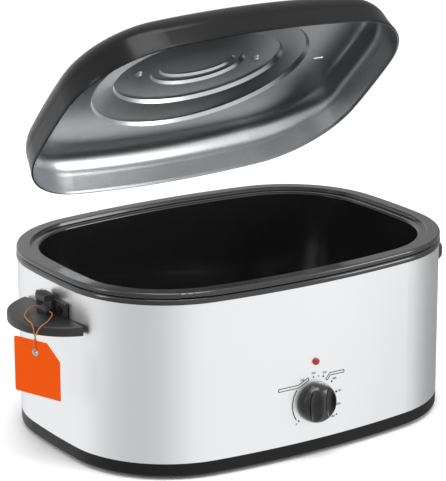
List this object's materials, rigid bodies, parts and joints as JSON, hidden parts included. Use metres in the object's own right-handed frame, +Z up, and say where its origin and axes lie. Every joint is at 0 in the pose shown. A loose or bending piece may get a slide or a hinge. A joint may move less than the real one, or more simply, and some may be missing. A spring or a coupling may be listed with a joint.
{
  "type": "electric roaster oven",
  "caption": "Oval electric roaster oven with brushed steel wrap, lift-out enamel pan, rack, knob, lamp, side handles and a domed black lid held open, with a blank hang tag.",
  "frame": {"origin": "on the counter under the middle of the oven's oval", "axes": "+Z up, +X along the oven's length to the right, front with the knob at -Y"},
  "size_m": [0.6508, 0.4263, 0.5461],
  "materials": {
    "brushed_steel": "satin brushed stainless steel",
    "black_steel": "satin black baked paint",
    "black_enamel": "glossy black porcelain enamel",
    "lid_enamel": "glossy black outside, grey enamel inside",
    "phenolic": "black moulded phenolic",
    "knob_plastic": "black moulded plastic, satin gloss",
    "rubber": "black rubber",
    "zinc": "bright zinc-plated steel",
    "chrome": "chromed steel wire",
    "aluminised": "dull aluminised sheet",
    "glass_wool": "pale glass wool",
    "lamp_red": "clear red moulding",
    "white_plastic": "cream moulded nylon",
    "heater_cloth": "woven glass-fibre band",
    "tag_card": "bright orange laminated card",
    "tag_cord": "tan twisted cord"
  },
  "bodies": {
    "oven": {"steel_wrap": "brushed_steel", "base_tray": "black_steel", "foot_front_left": "rubber", "foot_front_right": "rubber", "foot_rear_left": "rubber", "foot_rear_right": "rubber", "foot_screws": "zinc", "oven_well": "black_enamel", "heater_band": "heater_cloth", "heater_terminals": "zinc", "insulation_blanket": "glass_wool", "heat_shield": "aluminised", "tie_bolts": "zinc", "thermal_cutout": "zinc", "side_handle_left": "phenolic", "lid_rest_left": "phenolic", "handle_screws_left": "black_steel", "side_handle_right": "phenolic", "lid_rest_right": "phenolic", "handle_screws_right": "black_steel", "thermostat_plate": "zinc", "thermostat": "zinc", "thermostat_nut": "zinc", "lamp_lens": "lamp_red", "lamp_holder": "white_plastic", "lamp_socket": "white_plastic", "cord_gland": "rubber", "terminal_block": "white_plastic", "tag_card": "tag_card", "tag_eyelet": "zinc", "tag_string": "tag_cord"},
    "lid": {"lid_shell": "lid_enamel", "lid_handle": "phenolic", "lid_screw_left": "zinc", "lid_washer_left": "zinc", "lid_screw_right": "zinc", "lid_washer_right": "zinc"},
    "pan": {"cooking_pan": "black_enamel"},
    "rack": {"rack_rail": "chrome", "rack_wires": "chrome", "rack_feet": "chrome"},
    "knob": {"control_knob": "knob_plastic", "thermostat_shaft": "zinc"}
  },
  "joints": [
    {"name": "lid_open", "type": "hinge", "parent": "pan", "child": "lid", "pos_m": [0, 0.212, 0.284], "axis": [-1, 0, 0], "range_deg": [-44.7, 0]},
    {"name": "pan_lift", "type": "slide", "parent": "oven", "child": "pan", "axis": [0, 0, 1], "range_m": [0, 0.2]},
    {"name": "rack_lift", "type": "slide", "parent": "pan", "child": "rack", "axis": [0, 0, 1], "range_m": [0, 0.17]},
    {"name": "knob_turn", "type": "hinge", "parent": "oven", "child": "knob", "pos_m": [-0.005, -0.1973, 0.0706], "axis": [0, -1, 0], "range_deg": [-132, 131]}
  ]
}
